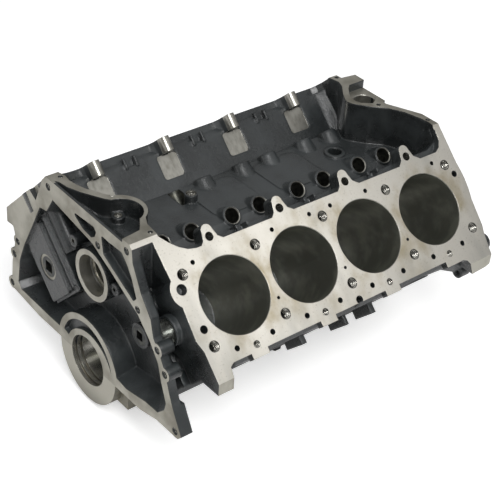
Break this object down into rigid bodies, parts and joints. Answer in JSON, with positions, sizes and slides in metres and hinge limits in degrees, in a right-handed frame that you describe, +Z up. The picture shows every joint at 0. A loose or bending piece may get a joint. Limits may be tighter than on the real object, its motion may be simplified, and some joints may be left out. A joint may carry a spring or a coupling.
{
  "type": "engine block",
  "caption": "Cast iron V8 engine block with machined decks, bolted main bearing caps, cam bearings and pressed plugs.",
  "frame": {"origin": "centre of the crankshaft bore on the rear face of the block, where the gearbox bolts on", "axes": "+X forward along the crankshaft, +Y to the left bank, +Z up"},
  "size_m": [0.5801, 0.508, 0.342],
  "materials": {
    "casting": "dark oiled casting with bright machined faces",
    "cap_iron": "machined iron",
    "bolt_steel": "black oxide",
    "bearing_metal": "bright bearing metal",
    "plug_steel": "pressed steel",
    "socket_plug": "dark steel"
  },
  "bodies": {
    "root": {"cam_bearing_1": "bearing_metal", "cam_bearing_2": "bearing_metal", "cam_bearing_3": "bearing_metal", "cam_bearing_4": "bearing_metal", "cam_bearing_5": "bearing_metal", "cap_1_inner_bolt_left": "bolt_steel", "cap_1_inner_bolt_right": "bolt_steel", "cap_2_inner_bolt_left": "bolt_steel", "cap_2_inner_bolt_right": "bolt_steel", "cap_2_outer_bolt_left": "bolt_steel", "cap_2_outer_bolt_right": "bolt_steel", "cap_3_inner_bolt_left": "bolt_steel", "cap_3_inner_bolt_right": "bolt_steel", "cap_3_outer_bolt_left": "bolt_steel", "cap_3_outer_bolt_right": "bolt_steel", "cap_4_inner_bolt_left": "bolt_steel", "cap_4_inner_bolt_right": "bolt_steel", "cap_4_outer_bolt_left": "bolt_steel", "cap_4_outer_bolt_right": "bolt_steel", "cap_5_inner_bolt_left": "bolt_steel", "cap_5_inner_bolt_right": "bolt_steel", "engine_block": "casting", "front_gallery_plug_left": "socket_plug", "front_gallery_plug_right": "socket_plug", "left_bank_end_plug": "socket_plug", "left_core_plug_1": "plug_steel", "left_core_plug_2": "plug_steel", "left_core_plug_3": "plug_steel", "main_cap_1": "cap_iron", "main_cap_2": "cap_iron", "main_cap_3": "cap_iron", "main_cap_4": "cap_iron", "main_cap_5": "cap_iron", "rear_core_plug": "plug_steel", "rear_gallery_plug_left": "socket_plug", "rear_gallery_plug_right": "socket_plug", "rear_pipe_plug": "socket_plug", "right_core_plug_1": "plug_steel", "right_core_plug_2": "plug_steel", "right_core_plug_3": "plug_steel"}
  },
  "joints": []
}
